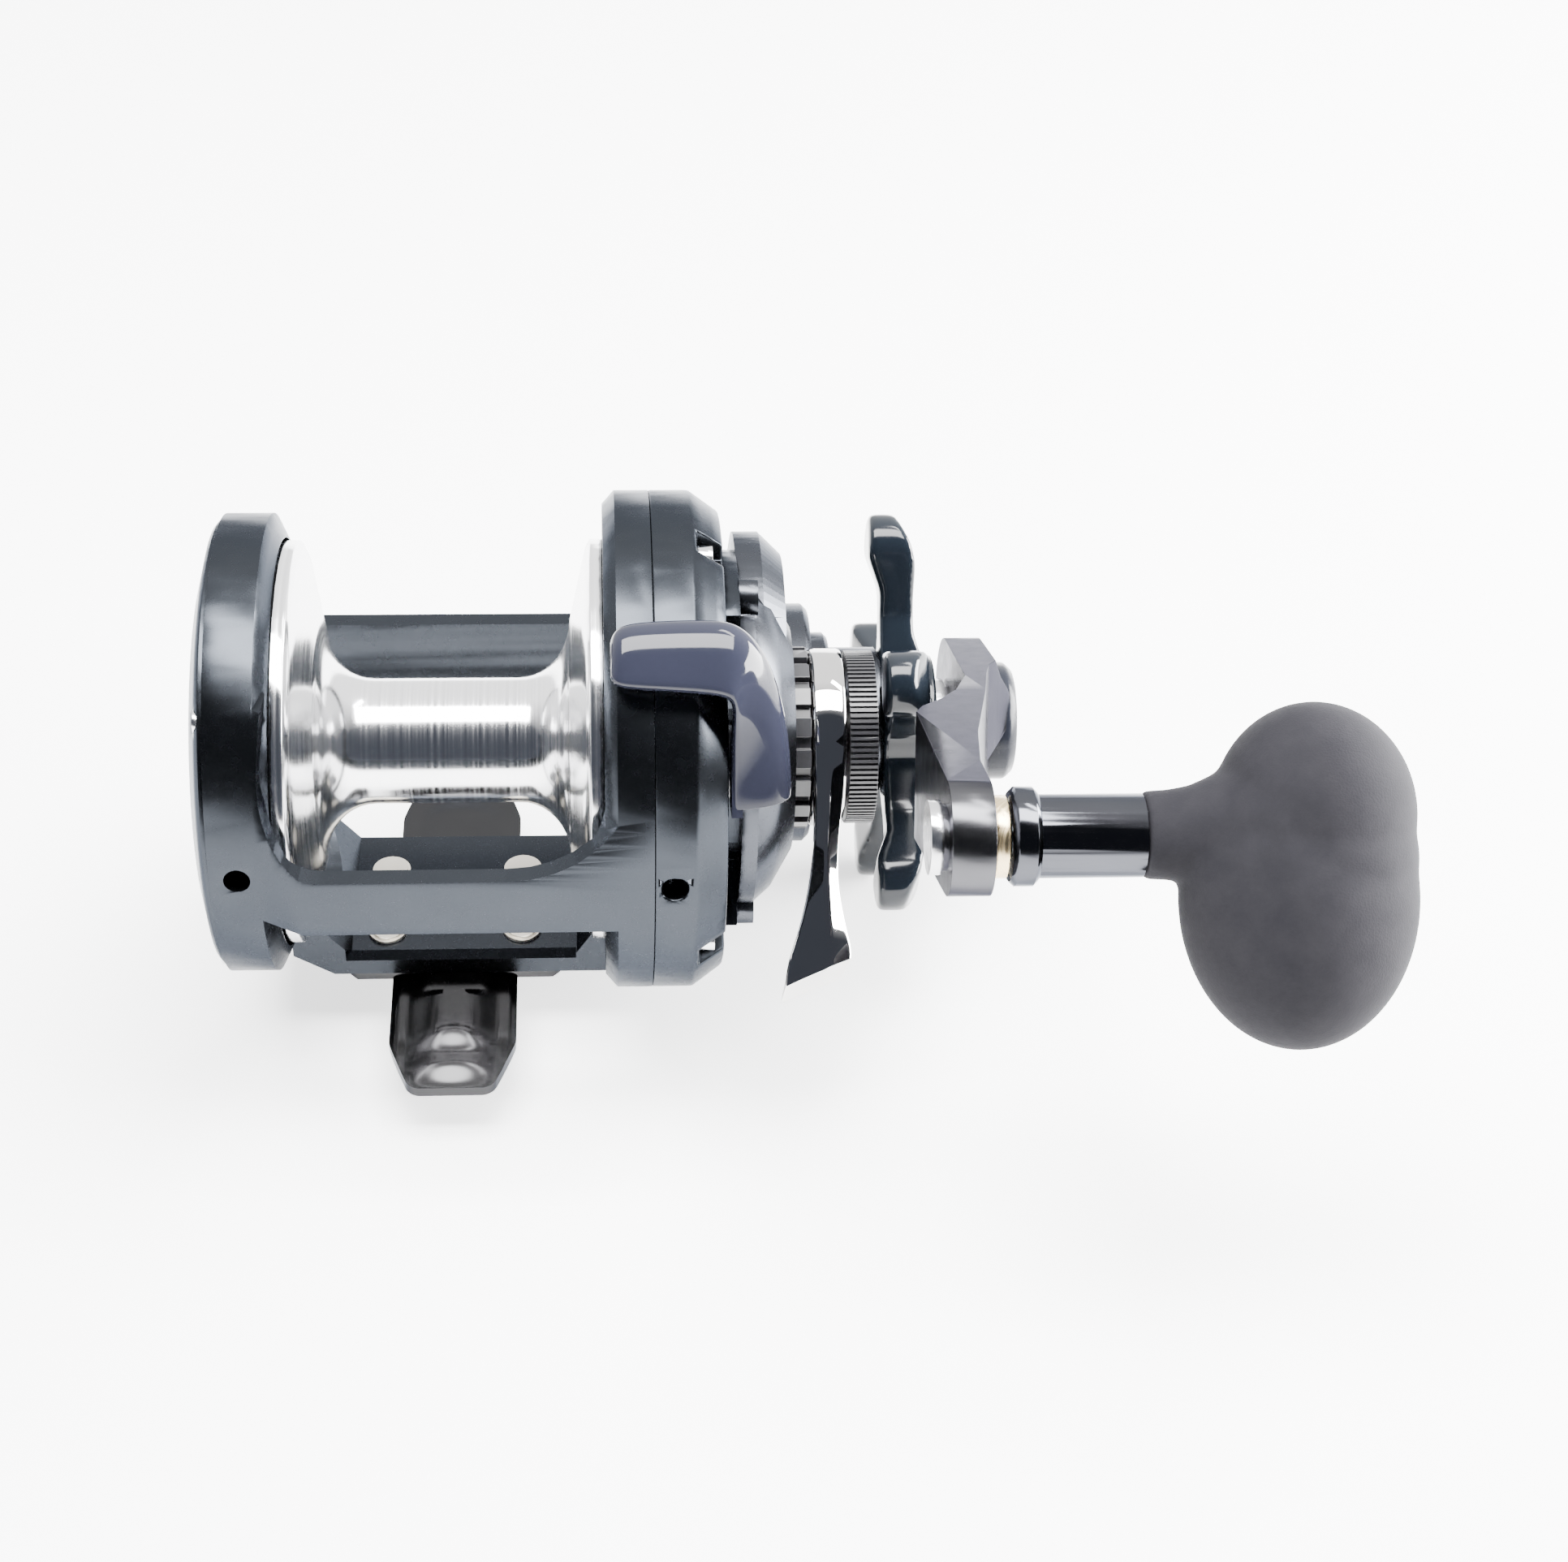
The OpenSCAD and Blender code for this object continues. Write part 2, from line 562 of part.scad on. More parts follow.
module knob_spindle() color("silver") about_knob() {
    disc(4.5, 59.4, 60.9);
    disc(4, 60.9, arm_in);
    disc(spindle_r, arm_in, arm_out);
    disc(shaft_r, arm_out, 98.8);
}
module spindle_washer() color("#c2a878") about_knob() tube(shaft_r, 5, arm_out, 68.8);
module spindle_screw() color("silver") about_knob() disc(2.7, 98.8, 100);

// One arm of the star: a slim neck, a bend and a rounded paddle
module star_arm_side() polygon([[4, 60.9], [19, 60.9], [20.4, 60.4], [24, 59.1], [star_r, 59.3], [star_r + 1, 62.6],
    [28.5, 64], [26, 65.3], [23, 66], [18, 65.8], [13, 65.9], [9, 67.1], [4, 67.1]]);
module star_drag() color("#15181d") about_gear() difference() {
    union() {
        disc(9.5, 60.7, 67.4);
        for (i = [0 : star_arms - 1]) rotate(57 + i * 360 / star_arms) intersection() {
            slab(58, 68) {
                link([6, 0], 4.4, [16, 0], 2.2);
                link([15, 0], 2.2, [star_r - 4.6, 0], 4.6);
            }
            translate([0, 10, 0]) rotate([90, 0, 0]) linear_extrude(20) star_arm_side();
        }
    }
    disc(thread_r + run, 50, 70);
}
module star_collar() color("#15181d") about_gear() tube(thread_r + run, 9.6, 67.4, 68.5);

// ---- knob ----

module knob_sleeve() color("#3f4248") about_knob() difference() {
    turned([[0, 69.1], [5.4, 69.1], [6, 69.7], [6, 71.9], [5.4, 72.5], [5.06, 72.5], [5.06, sleeve_end],
        [4, sleeve_end], [4, 103], [0, 103]]);
    disc(3, 60, 101.4);
    disc(3.6, 60, 72.4);
}
module knob_bearings() color("silver") about_knob() {
    tube(shaft_r + run, 3.6, 69.9, 72.4);
    tube(shaft_r + run, 3, 96.2, 98.6);
}

// A flared neck that swells into an egg-shaped bulb, longer on its lower side
module knob_grip() color("#4b484f") about_knob() difference() {
    union() {
        turned([[0, sleeve_end], [5.3, sleeve_end], [5.4, 88], [6, 91], [7.4, 94.2], [9.2, 96.5],
            [12, 99.5], [0, 103]]);
        rotate(grip_turn) hull() {
            translate([4.1, 0, 107]) sphere(r = 11.5, $fn = 32);
            translate([-5, 0, 104.5]) sphere(r = 14.2, $fn = 32);
            translate([-13, 0, 104]) sphere(r = 12.8, $fn = 32);
        }
    }
    disc(4, 80, 103);
}

// ---- fall lever and tension knob ----

fall_turn = 230;
// The arm leaves the ring on the angler's side and runs down past it; local x points down the arm
module fall_lever() color("#c8cacd") about_spool() {
    tube(tube_r + run, 12.1, 48.8, 53.4);
    rotate(fall_turn) {
        slab(49.2, 53) difference() {
            link([0, -8.8], 3.2, [13, -9.8], 2.4);
            circle(tube_r + run);
        }
        hull() {
            translate([13, -9.9, 51.2]) sphere(r = 2, $fn = 24);
            translate([24.6, -10, 50.9]) sphere(r = 2.2, $fn = 24);
        }
        hull() {
            translate([24.6, -10, 50.9]) sphere(r = 2.2, $fn = 24);
            translate([30, -10.4, 52]) sphere(r = 2, $fn = 24);
            translate([30.8, -9.8, 47.2]) sphere(r = 2, $fn = 24);
            translate([33.6, -9.4, 46.4]) sphere(r = 1.7, $fn = 24);
        }
    }
}

module tension_knob() color("#1c1d20") about_spool() difference() {
    slab(53.8, 57.6) ridged(0.1, 11.4, 11.8, knob_ridges, 0.5);
    disc(tube_r + run, 50, 57);
    disc(1.2, 50, 60);
}
module tension_pad() color("tan") about_spool() disc(3.2, 48.2, 56.8);

frame();
left_side_plate();
left_plate_screws();
left_bearing();
right_side_plate();
side_plate_screws();
right_bearing();
gear_plate();
gear_housing();
housing_screws();
shaft_bush();
one_way_clutch();
drive_bearing();
tension_tube();
end_bush();
click_ring();
yoke_posts();
yoke_springs();
foot();
foot_rivets();
spool();
spool_shaft();
shaft_pin();
clicker_ratchet();
clicker_button();
clicker_pawl();
pinion_gear();
clutch_yoke();
clutch_cam();
clutch_lever();
drive_shaft();
main_gear();
metal_drag_washers();
carbon_drag_washers();
pressure_plate();
clutch_sleeve();
spring_washers();
handle_spacers();
handle_arm();
handle_nut();
nut_cap();
cap_screw();
knob_spindle();
spindle_washer();
spindle_screw();
star_drag();
star_collar();
knob_sleeve();
knob_bearings();
knob_grip();
fall_lever();
tension_knob();
tension_pad();
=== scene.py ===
import json
from math import cos, sin, radians, pi

import bmesh
import bpy
from mathutils import Matrix, Vector


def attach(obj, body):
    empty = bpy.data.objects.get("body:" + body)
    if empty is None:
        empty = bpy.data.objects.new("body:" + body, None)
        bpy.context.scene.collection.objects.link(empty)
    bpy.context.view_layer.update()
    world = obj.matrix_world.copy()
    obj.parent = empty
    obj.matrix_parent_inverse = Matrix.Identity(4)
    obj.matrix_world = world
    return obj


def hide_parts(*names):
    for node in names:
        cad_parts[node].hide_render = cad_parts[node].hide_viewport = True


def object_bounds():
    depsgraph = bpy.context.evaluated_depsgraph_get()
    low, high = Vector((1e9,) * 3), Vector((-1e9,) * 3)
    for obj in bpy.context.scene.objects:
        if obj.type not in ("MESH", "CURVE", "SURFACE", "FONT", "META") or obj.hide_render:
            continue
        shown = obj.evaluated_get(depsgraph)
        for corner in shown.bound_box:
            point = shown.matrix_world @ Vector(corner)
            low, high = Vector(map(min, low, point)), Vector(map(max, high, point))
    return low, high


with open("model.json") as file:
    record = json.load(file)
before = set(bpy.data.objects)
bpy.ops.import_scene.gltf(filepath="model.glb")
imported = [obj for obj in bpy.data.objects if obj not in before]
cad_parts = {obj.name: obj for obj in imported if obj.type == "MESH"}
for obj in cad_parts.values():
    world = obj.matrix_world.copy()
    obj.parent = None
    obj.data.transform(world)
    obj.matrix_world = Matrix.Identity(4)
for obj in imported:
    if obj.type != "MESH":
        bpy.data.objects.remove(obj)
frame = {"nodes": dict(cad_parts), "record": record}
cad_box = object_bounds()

nodes = frame["nodes"]
MM = 0.001

# Axes that the moving pieces turn about, in mm
AXIS_H = 36.0
GEAR_Y, GEAR_Z = 19.0, 23.0
CRANK_R, HANDLE_TURN = 74.5, 151.2
KNOB_Y = GEAR_Y + CRANK_R * cos(radians(HANDLE_TURN))
KNOB_Z = GEAR_Z + CRANK_R * sin(radians(HANDLE_TURN))

# ---- camera, floor and light ----

CAMERA_AT = (0.01976, -0.29508, 0.28242)
CAMERA_YAW, CAMERA_PITCH, CAMERA_ROLL = 5.084, 40.644, 2.770
LENS_MM, SENSOR_MM = 64.66, 36.0


def add_camera():
    """The camera stands on the angler's side above the reel, a little turned and rolled."""
    camera = bpy.data.objects.new("camera", bpy.data.cameras.new("camera"))
    bpy.context.scene.collection.objects.link(camera)
    camera.data.lens = LENS_MM
    camera.data.sensor_width = SENSOR_MM
    camera.data.clip_start = 0.01
    yaw = Matrix.Rotation(radians(-CAMERA_YAW), 4, "Z")
    pitch = Matrix.Rotation(radians(90 - CAMERA_PITCH), 4, "X")
    roll = Matrix.Rotation(radians(CAMERA_ROLL), 4, "Z")
    camera.matrix_world = Matrix.Translation(CAMERA_AT) @ yaw @ pitch @ roll
    bpy.context.scene.camera = camera


def add_floor():
    """A plain pale floor; from low behind, its far edge shows."""
    half = 3.0
    mesh = bpy.data.meshes.new("floor")
    mesh.from_pydata([(-half, -half, 0), (half, -half, 0), (half, half, 0), (-half, half, 0)], [], [(0, 1, 2, 3)])
    floor = bpy.data.objects.new("floor", mesh)
    bpy.context.scene.collection.objects.link(floor)
    floor.location.z = cad_box[0][2] - 0.0001
    material = bpy.data.materials.new("floor")
    material.use_nodes = True
    shader = material.node_tree.nodes["Principled BSDF"]
    shader.inputs["Base Color"].default_value = (0.93, 0.93, 0.93, 1)
    shader.inputs["Roughness"].default_value = 0.8
    shader.inputs["Emission Color"].default_value = (1, 1, 1, 1)
    shader.inputs["Emission Strength"].default_value = 1.4
    mesh.materials.append(material)


def add_softbox(name, at, aim, size, power):
    light = bpy.data.lights.new(name, "AREA")
    light.shape = "RECTANGLE"
    light.size, light.size_y = size
    light.energy = power
    softbox = bpy.data.objects.new(name, light)
    bpy.context.scene.collection.objects.link(softbox)
    softbox.location = at
    softbox.rotation_euler = (Vector(aim) - Vector(at)).to_track_quat("-Z", "Y").to_euler()


def add_world():
    """A soft room, dark on the camera's side and white behind the reel."""
    world = bpy.data.worlds.new("room")
    world.use_nodes = True
    tree = world.node_tree
    background = tree.nodes["Background"]
    coordinates = tree.nodes.new("ShaderNodeTexCoord")
    split = tree.nodes.new("ShaderNodeSeparateXYZ")
    ramp = tree.nodes.new("ShaderNodeValToRGB")
    spread = tree.nodes.new("ShaderNodeMapRange")
    tree.links.new(coordinates.outputs["Generated"], split.inputs[0])
    tree.links.new(split.outputs["Y"], spread.inputs["Value"])
    spread.inputs["From Min"].default_value = -1.0
    spread.inputs["From Max"].default_value = 1.0
    tree.links.new(spread.outputs[0], ramp.inputs[0])
    ramp.color_ramp.elements[0].position = 0.32
    ramp.color_ramp.elements[0].color = (0.03, 0.033, 0.042, 1)
    ramp.color_ramp.elements[1].position = 0.72
    ramp.color_ramp.elements[1].color = (1.0, 1.0, 1.0, 1)
    tree.links.new(ramp.outputs[0], background.inputs["Color"])
    background.inputs["Strength"].default_value = 2.8
    bpy.context.scene.world = world


add_camera()
add_floor()
add_world()
add_softbox("softbox_top", (0.02, -0.02, 0.95), (0.02, -0.02, 0.0), (1.0, 0.46), 62)
add_softbox("softbox_right", (0.72, 0.10, 0.17), (0.03, 0.10, 0.17), (0.62, 0.36), 60)
add_softbox("strip_back", (0.35, 0.33, 0.88), (0.11, -0.05, 0.06), (0.36, 0.10), 5)

# ---- materials ----


class Surface:
    """A procedural material, its coordinates in metres in the object's own frame."""

    def __init__(self, name, metallic, roughness, edge_tint=(1, 1, 1)):
        self.material = bpy.data.materials.new(name)
        self.material.use_nodes = True
        self.tree = self.material.node_tree
        self.shader = self.tree.nodes["Principled BSDF"]
        self.shader.inputs["Metallic"].default_value = metallic
        self.shader.inputs["Roughness"].default_value = roughness
        if metallic > 0.5:
            self.shader.inputs["Specular Tint"].default_value = (*edge_tint, 1)
        self.place = self.tree.nodes.new("ShaderNodeTexCoord").outputs["Object"]
        self.normal = None

    def node(self, kind, **settings):
        made = self.tree.nodes.new("ShaderNode" + kind)
        for key, value in settings.items():
            setattr(made, key, value)
        return made

    def link(self, source, target):
        self.tree.links.new(source, target)

    def noise(self, size_mm, detail=3.0):
        """Noise whose features are about size_mm across."""
        made = self.node("TexNoise")
        made.inputs["Scale"].default_value = 1000.0 / size_mm
        made.inputs["Detail"].default_value = detail
        self.link(self.place, made.inputs["Vector"])
        return made.outputs["Fac"]

    def turned(self, axis_y, axis_z, size_mm):
        """Irregular rings about an axis along X, as a lathe leaves on a face."""
        split = self.node("SeparateXYZ")
        self.link(self.place, split.inputs[0])
        flat = self.node("CombineXYZ")
        for name, centre in (("Y", axis_y), ("Z", axis_z)):
            shift = self.node("Math", operation="SUBTRACT")
            self.link(split.outputs[name], shift.inputs[0])
            shift.inputs[1].default_value = centre * MM
            self.link(shift.outputs[0], flat.inputs[name])
        length = self.node("VectorMath", operation="LENGTH")
        self.link(flat.outputs[0], length.inputs[0])
        both = self.node("Math", operation="ADD")
        self.link(length.outputs["Value"], both.inputs[0])
        self.link(split.outputs["X"], both.inputs[1])
        made = self.node("TexNoise", noise_dimensions="1D")
        made.inputs["Scale"].default_value = 1000.0 / size_mm
        made.inputs["Detail"].default_value = 4.0
        self.link(both.outputs[0], made.inputs["W"])
        return made.outputs["Fac"]

    def tint(self, value, low, high, start=0.35, end=0.65):
        ramp = self.node("ValToRGB")
        ramp.color_ramp.elements[0].position = start
        ramp.color_ramp.elements[0].color = (*low, 1)
        ramp.color_ramp.elements[1].position = end
        ramp.color_ramp.elements[1].color = (*high, 1)
        self.link(value, ramp.inputs[0])
        self.link(ramp.outputs[0], self.shader.inputs["Base Color"])
        return self

    def rough(self, value, low, high):
        spread = self.node("MapRange")
        spread.inputs["From Min"].default_value = 0.3
        spread.inputs["From Max"].default_value = 0.7
        spread.inputs["To Min"].default_value = low
        spread.inputs["To Max"].default_value = high
        self.link(value, spread.inputs["Value"])
        self.link(spread.outputs[0], self.shader.inputs["Roughness"])
        return self

    def bump(self, value, depth_mm, strength=1.0):
        made = self.node("Bump")
        made.inputs["Strength"].default_value = strength
        made.inputs["Distance"].default_value = depth_mm * MM
        self.link(value, made.inputs["Height"])
        if self.normal is not None:
            self.link(self.normal, made.inputs["Normal"])
        self.normal = made.outputs["Normal"]
        self.link(self.normal, self.shader.inputs["Normal"])
        return self


def shade(color, factor):
    return tuple(min(1.0, value * factor) for value in color)


DIM_EDGE = (0.52, 0.53, 0.55)


def blasted(name, color, roughness, grain_mm, depth_mm, metallic=1.0, spread=0.02, edge_tint=(1, 1, 1)):
    """Fine-blasted and anodised or painted metal."""
    made = Surface(name, metallic, roughness, edge_tint)
    made.tint(made.noise(7.0), shade(color, 0.97), shade(color, 1.03))
    made.rough(made.noise(1.6), roughness - spread, roughness + spread)
    made.bump(made.noise(grain_mm, 2.0), depth_mm)
    return made.material


def polished(name, color, roughness, axis=(0.0, AXIS_H), ring_mm=0.5, depth_mm=0.00012):
    """Turned and polished metal with faint lathe marks."""
    made = Surface(name, 1.0, roughness)
    rings = made.turned(axis[0], axis[1], ring_mm)
    made.tint(rings, shade(color, 0.93), shade(color, 1.04))
    made.rough(rings, roughness * 0.75, roughness * 1.35)
    made.bump(rings, depth_mm)
    return made.material


def glossy(name, color, roughness, metallic=0.0, wave_mm=0.0008, edge_tint=(1, 1, 1), shine=0.5):
    """Smooth lacquer, plating or moulded plastic with faint waviness."""
    made = Surface(name, metallic, roughness, edge_tint)
    made.tint(made.noise(9.0), shade(color, 0.97), shade(color, 1.03))
    made.rough(made.noise(3.0), roughness * 0.9, roughness * 1.15)
    made.bump(made.noise(5.0, 1.0), wave_mm)
    made.shader.inputs["Specular IOR Level"].default_value = shine
    return made.material


def foam():
    """Closed-cell foam: matt, with small cells and soft mottling."""
    made = Surface("grip_foam", 0.0, 0.85)
    made.tint(made.noise(4.0, 5.0), (0.0105, 0.0102, 0.0127), (0.0138, 0.0133, 0.016), 0.3, 0.7)
    cells = made.node("TexVoronoi")
    cells.inputs["Scale"].default_value = 1000.0 / 0.28
    made.link(made.place, cells.inputs["Vector"])
    made.bump(cells.outputs["Distance"], 0.05, 0.35)
    made.bump(made.noise(1.2), 0.03, 0.4)
    made.shader.inputs["Specular IOR Level"].default_value = 0.12
    return made.material


MATERIALS = {
    "frame_metal": blasted("frame_metal", (0.028, 0.031, 0.036), 0.27, 0.14, 0.0001, spread=0.01, edge_tint=DIM_EDGE),
    "housing_metal": blasted("housing_metal", (0.048, 0.051, 0.058), 0.27, 0.14, 0.0001, spread=0.01,
                             edge_tint=DIM_EDGE),
    "spool_metal": polished("spool_metal", (0.80, 0.80, 0.81), 0.15),
    "steel": blasted("steel", (0.62, 0.62, 0.63), 0.20, 0.3, 0.001, spread=0.06),
    # The foot's steel is given a near-black colour, far below the plain steel's: painted shade standing in for the
    # frame's shadow over the foot
    "foot_steel": glossy("foot_steel", (0.034, 0.034, 0.035), 0.16, 1.0, edge_tint=DIM_EDGE),
    "rivet_metal": blasted("rivet_metal", (0.62, 0.58, 0.50), 0.36, 0.2, 0.004),
    "brass": polished("brass", (0.71, 0.56, 0.33), 0.26, (GEAR_Y, GEAR_Z), depth_mm=0.0006),
    "bush": blasted("bush", (0.55, 0.46, 0.34), 0.5, 0.2, 0.003, 0.0),
    "carbon": blasted("carbon", (0.03, 0.03, 0.035), 0.5, 0.3, 0.01, 0.0),
    "black_metal": blasted("black_metal", (0.014, 0.014, 0.016), 0.30, 0.2, 0.002, 0.0),
    "gloss_black": glossy("gloss_black", (0.014, 0.015, 0.024), 0.07, shine=0.25),
    "star_black": glossy("star_black", (0.005, 0.007, 0.010), 0.12, shine=0.3),
    "dark_chrome": glossy("dark_chrome", (0.060, 0.062, 0.070), 0.12, 1.0, edge_tint=DIM_EDGE),
    "cap_plastic": glossy("cap_plastic", (0.008, 0.009, 0.013), 0.25, shine=0.15),
    "grip_foam": foam(),
    "chrome": glossy("chrome", (0.55, 0.54, 0.53), 0.035, 1.0),
}
# The arm's broad faces are plated over a softer polish than the sleeve
ARM_PLATING = glossy("arm_plating", (0.07, 0.07, 0.075), 0.24, 1.0, edge_tint=(0.36, 0.36, 0.38))

# How round the edges of each CAD node are, in mm
EDGE_MM = {"frame": 0.35, "left_side_plate": 0.3, "right_side_plate": 0.3, "gear_plate": 0.15, "gear_housing": 0.35,
           "star_collar": 0.3, "handle_arm": 0.8, "nut_cap": 0.3, "spool": 0.15,
           "knob_sleeve": 0.2, "foot_rivets": 0.2, "knob_spindle": 0.25, "click_ring": 0.12, "tension_knob": 0.06,
           "spindle_washer": 0.15, "clicker_button": 0.3, "side_plate_screws": 0.2, "left_plate_screws": 0.15}


def round_edges(node, width_mm):
    """Joins the mesh's split edges and rounds them, without changing the mesh itself."""
    weld = node.modifiers.new("weld", "WELD")
    weld.merge_threshold = 1e-6
    bevel = node.modifiers.new("edge", "BEVEL")
    bevel.width = width_mm * MM
    bevel.segments = 2
    bevel.limit_method = "ANGLE"
    bevel.angle_limit = radians(32)
    bevel.harden_normals = True


def remesh_and_smooth(piece, voxel_mm, iterations):
    """Melts edges and joined shapes into one soft surface."""
    voxels = piece.modifiers.new("voxels", "REMESH")
    voxels.mode = "VOXEL"
    voxels.voxel_size = voxel_mm * MM
    voxels.use_smooth_shade = True
    soft = piece.modifiers.new("soft", "SMOOTH")
    soft.factor = 0.5
    soft.iterations = iterations


for part in frame["record"]["subparts"]:
    node = nodes[part["node"]]
    for index in range(len(node.data.materials)):
        material = ARM_PLATING if part["node"] == "handle_arm" else MATERIALS[part["material_slot"]]
        node.data.materials[index] = material
    if part["node"] in EDGE_MM:
        round_edges(node, EDGE_MM[part["node"]])

# The star is a casting with soft edges all over
remesh_and_smooth(nodes["star_drag"], 0.35, 36)

# ---- replaced pieces ----


def finish_piece(name, bm, slot_name, body, *replaced):
    """Turns a bmesh in mm into a piece that stands for CAD nodes and moves with their body."""
    bmesh.ops.recalc_face_normals(bm, faces=bm.faces)
    mesh = bpy.data.meshes.new(name)
    bm.to_mesh(mesh)
    bm.free()
    mesh.transform(Matrix.Scale(MM, 4))
    for face in mesh.polygons:
        face.use_smooth = True
    mesh.materials.append(MATERIALS[slot_name])
    piece = bpy.data.objects.new(name, mesh)
    bpy.context.scene.collection.objects.link(piece)
    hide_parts(*replaced)
    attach(piece, body)
    return piece


def lathe(bm, profile, axis_y, axis_z, steps=96):
    """A closed ring of (radius, x) points turned about an axis along X."""
    rings = []
    for radius, x in profile:
        turns = [2 * pi * i / steps for i in range(steps)]
        rings.append([bm.verts.new((x, axis_y + radius * cos(turn), axis_z + radius * sin(turn))) for turn in turns])
    for near, far in zip(rings, rings[1:] + rings[:1]):
        for i in range(steps):
            j = (i + 1) % steps
            bm.faces.new((near[i], near[j], far[j], far[i]))


def loft(bm, sections, crease=None):
    """Skins a row of same-length point loops; crease gives the sharpness of each lengthwise edge."""
    layer = bm.edges.layers.float.get("crease_edge") or bm.edges.layers.float.new("crease_edge")
    rings = [[bm.verts.new(point) for point in section] for section in sections]
    count = len(rings[0])
    for near, far in zip(rings, rings[1:]):
        for i in range(count):
            j = (i + 1) % count
            bm.faces.new((near[i], near[j], far[j], far[i]))
    bm.faces.new(rings[0])
    bm.faces.new(list(reversed(rings[-1])))
    if crease:
        for near, far in zip(rings, rings[1:]):
            for i in range(count):
                bm.edges.get((near[i], far[i]))[layer] = crease[i]
    return rings


def smooth_subdivision(piece, levels):
    made = piece.modifiers.new("smooth", "SUBSURF")
    made.levels = levels
    made.render_levels = levels


# The foam grip: a flared neck that runs into two swollen lobes

GRIP_TURN = 49.3


def ellipsoid(bm, along, x, radii):
    """An ellipsoid whose middle lies on the grip's long side; radii are (x, along, across)."""
    made = bmesh.ops.create_icosphere(bm, subdivisions=5, radius=1.0)
    turn = radians(GRIP_TURN)
    long_way = Vector((0, cos(turn), sin(turn)))
    cross_way = Vector((0, -sin(turn), cos(turn)))
    middle = Vector((x, KNOB_Y, KNOB_Z)) + along * long_way
    for vert in made["verts"]:
        a, b, c = vert.co
        vert.co = middle + a * radii[0] * Vector((1, 0, 0)) + b * radii[1] * long_way + c * radii[2] * cross_way


def add_grip():
    bm = bmesh.new()
    ellipsoid(bm, 2.3, 106.2, (12.3, 13.6, 12.4))
    ellipsoid(bm, -7.8, 104.3, (14.5, 18.3, 12.8))
    ellipsoid(bm, -3.0, 106.0, (12.7, 12.5, 12.4))
    lathe(bm, [(2.5, 85.2), (5.1, 85.2), (5.35, 85.5), (5.4, 88), (5.9, 91), (7.3, 94.2), (9.4, 96.8), (11.2, 99.6),
               (11.2, 102), (9, 106), (2.5, 106)], KNOB_Y, KNOB_Z)
    grip = finish_piece("foam_grip", bm, "grip_foam", "knob", "knob_grip")
    remesh_and_smooth(grip, 0.5, 14)


add_grip()

# The thumb lever: a pad over the rim that turns down into an arm beside the boss


def polar(x, radius, turn):
    """A point by its angle above level on the angler's side of the spool axis."""
    return Vector((x, -radius * cos(radians(turn)), AXIS_H + radius * sin(radians(turn))))


def rounded(corners, shares=(0.30, 0.10, 0.15, 0.30)):
    """Two points near each corner of a loop, so that subdivision gives round corners and flat sides."""
    loop = []
    for i, corner in enumerate(corners):
        before, after = corners[i - 1], corners[(i + 1) % len(corners)]
        loop.append(corner.lerp(before, shares[i]))
        loop.append(corner.lerp(after, shares[i]))
    return loop


def add_clutch_lever():
    sections = [
        [(21.9, 37.0, 58.5), (21.9, 37.0, 51.5), (21.9, 35.2, 52), (21.9, 35.2, 60)],
        [(22.6, 38.6, 60.8), (22.6, 37.9, 49.6), (22.4, 34.5, 50), (22.4, 34.5, 64)],
        [(25.5, 39.2, 61.6), (25.5, 38.1, 49.0), (25.5, 34.2, 49.4), (25.5, 34.2, 65.5)],
        [(34.5, 39.4, 61.8), (34.5, 38.1, 48.2), (34.5, 34.2, 48.6), (34.5, 34.2, 66)],
        [(38.4, 39.2, 61.2), (37.2, 37.8, 47.2), (36.8, 34.0, 47.6), (37.8, 34.2, 65)],
        [(41.6, 37.2, 57.0), (37.4, 35.9, 44.6), (37.0, 30.6, 45.4), (41.0, 31.6, 60)],
        [(43.6, 33.4, 49.5), (37.1, 33.0, 39.5), (36.8, 27.2, 41), (43.2, 27.2, 53)],
        [(44.8, 31.0, 38.0), (37.0, 31.0, 32.0), (36.8, 25.4, 34), (44.4, 24.8, 42)],
        [(45.1, 30.2, 25.5), (36.9, 30.4, 23.6), (36.8, 25.0, 26), (44.8, 24.4, 29)],
        [(45.0, 30.0, 23.2), (37.0, 30.2, 21.8), (36.9, 25.2, 23.6), (44.7, 24.8, 26.4)],
    ]
    bm = bmesh.new()
    loft(bm, [rounded([polar(*corner) for corner in section]) for section in sections])
    bmesh.ops.inset_region(bm, faces=[face for face in bm.faces if len(face.verts) == 8], thickness=0.5)
    lever = finish_piece("thumb_lever_cover", bm, "gloss_black", "thumb_lever", "clutch_lever")
    smooth_subdivision(lever, 3)
    # the flat plate that reaches in through the slot
    bm = bmesh.new()
    inner, outer = [], []
    for i in range(25):
        turn = 44 + (20 - 44) * i / 24
        inner.append((17.2, turn))
        outer.append((30.0, turn))
    loop = inner + outer[::-1]
    low = [bm.verts.new(polar(37.1, radius, turn)) for radius, turn in loop]
    high = [bm.verts.new(polar(38.5, radius, turn)) for radius, turn in loop]
    bm.faces.new(low)
    bm.faces.new(high[::-1])
    for i in range(len(loop)):
        j = (i + 1) % len(loop)
        bm.faces.new((low[i], low[j], high[j], high[i]))
    plate = finish_piece("thumb_lever_plate", bm, "gloss_black", "thumb_lever", "clutch_lever")
    for face in plate.data.polygons:
        face.use_smooth = False


add_clutch_lever()

# The fall lever: a plated ring with a ridged arm that ends in a slanted tip

FALL_TURN = 230.0


